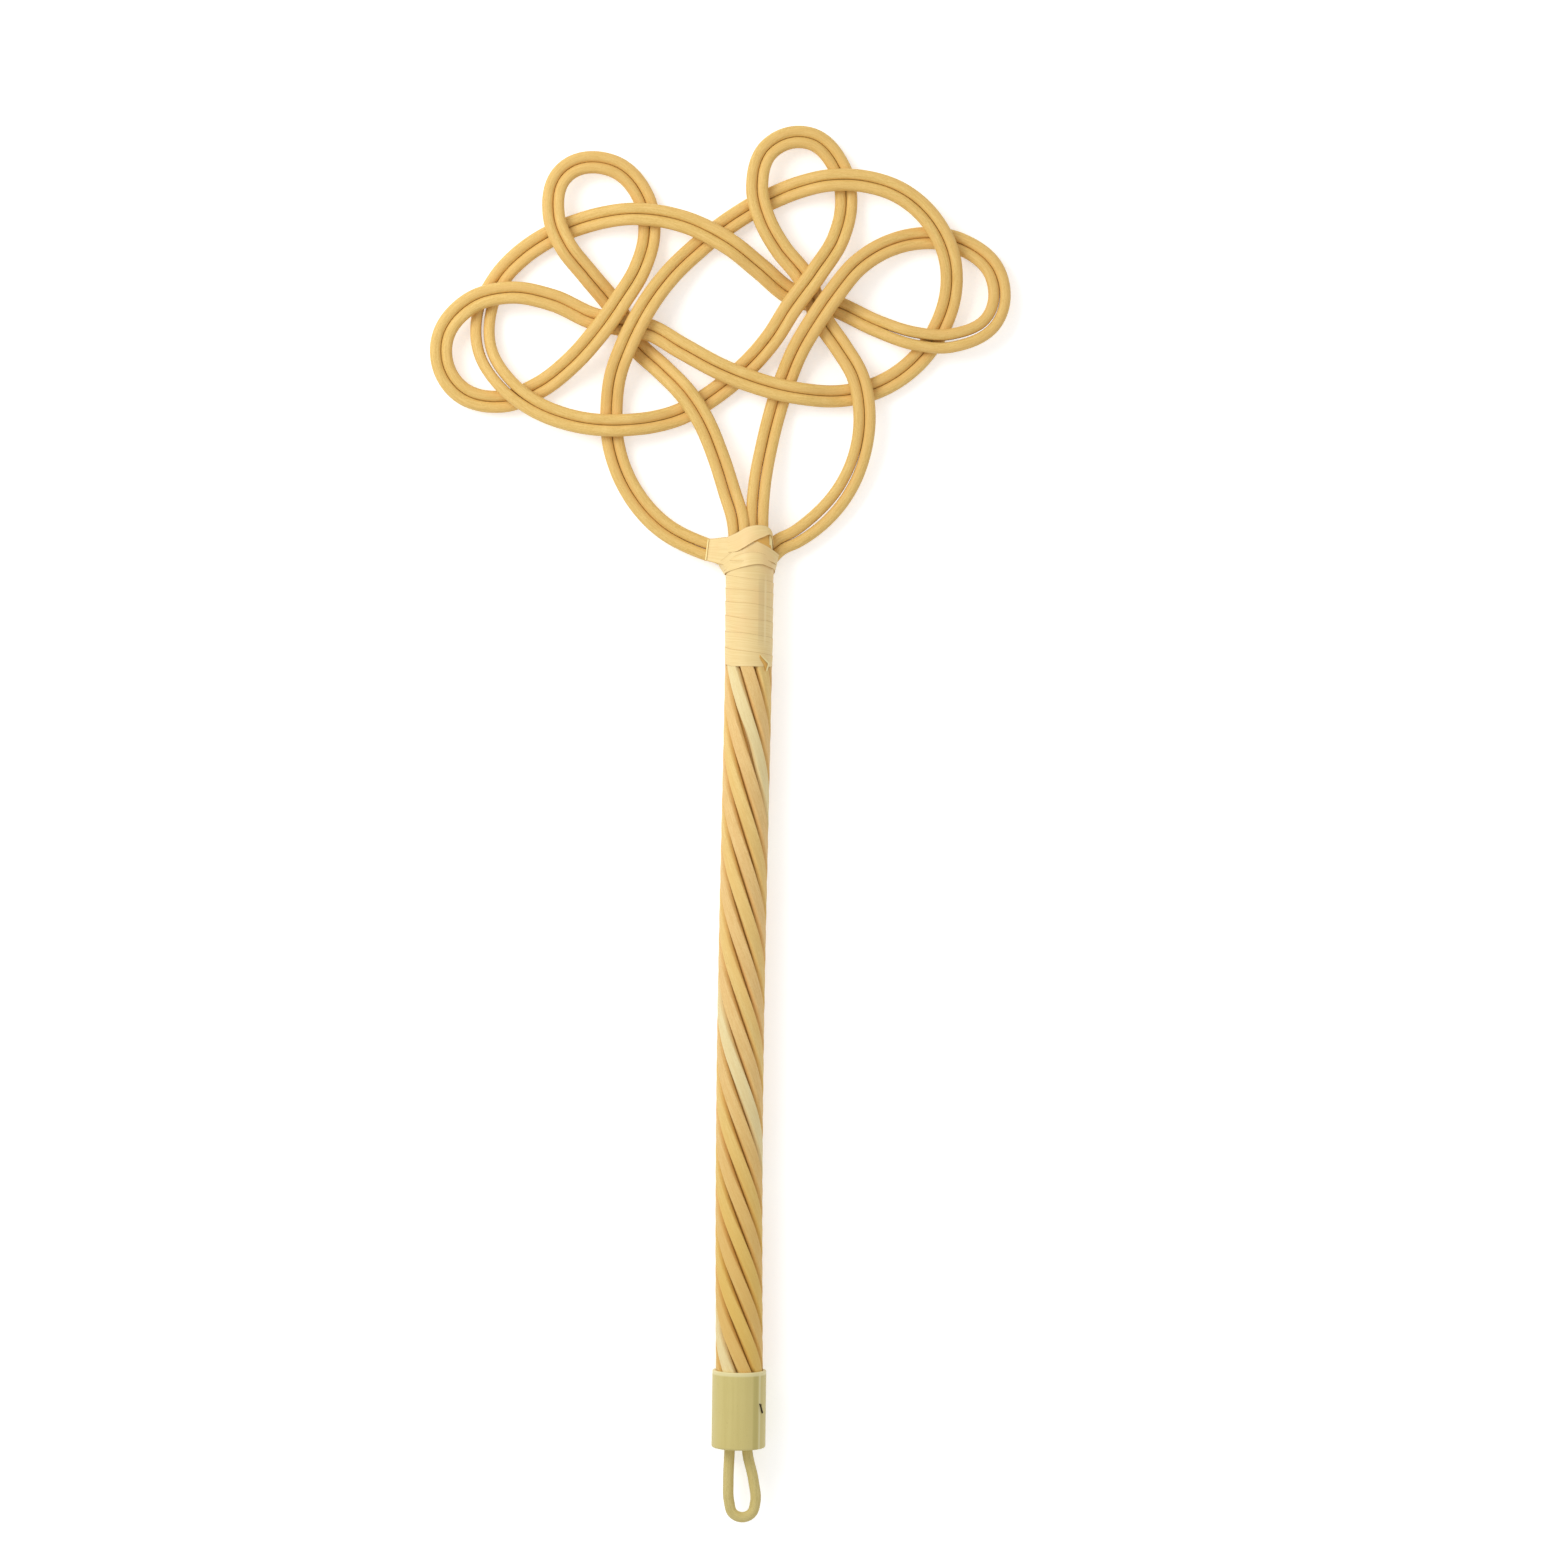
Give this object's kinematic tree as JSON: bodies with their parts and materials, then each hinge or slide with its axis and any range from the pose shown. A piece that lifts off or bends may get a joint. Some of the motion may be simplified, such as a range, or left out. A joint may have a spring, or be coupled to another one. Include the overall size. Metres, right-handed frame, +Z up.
{
  "type": "carpet beater",
  "caption": "Carpet beater of bent cane: a woven knot of paired canes, a flat strip binding at the neck, a twisted cane handle, an end cap and a small hanging loop.",
  "frame": {"origin": "under the middle of the beater, on the surface that it lies on", "axes": "+Y from the handle towards the knotted head, +Z up, out of the flat of the head, +X to the right as seen from above"},
  "size_m": [0.256, 0.6151, 0.0242],
  "materials": {
    "golden_cane": "satin, split and peeled cane",
    "tan_cane": "satin, split and peeled cane",
    "pale_cane": "satin, bleached cane",
    "binding_strip": "satin, flat cane bark",
    "cap_cream": "matte",
    "dark_wire": "dull, dark",
    "loop_cane": "satin, thin pale cane"
  },
  "bodies": {
    "root": {"knot_cane_left_1": "golden_cane", "knot_cane_left_2": "golden_cane", "knot_cane_right_1": "golden_cane", "knot_cane_right_2": "golden_cane", "handle_cane_1": "tan_cane", "handle_cane_2": "golden_cane", "handle_cane_3": "tan_cane", "handle_cane_4": "pale_cane", "handle_cane_5": "tan_cane", "handle_cane_6": "golden_cane", "handle_cane_7": "tan_cane", "handle_cane_8": "golden_cane", "handle_core": "tan_cane", "neck_binding": "binding_strip", "end_cap": "cap_cream", "cap_staple": "dark_wire", "hanging_loop": "loop_cane"}
  },
  "joints": []
}
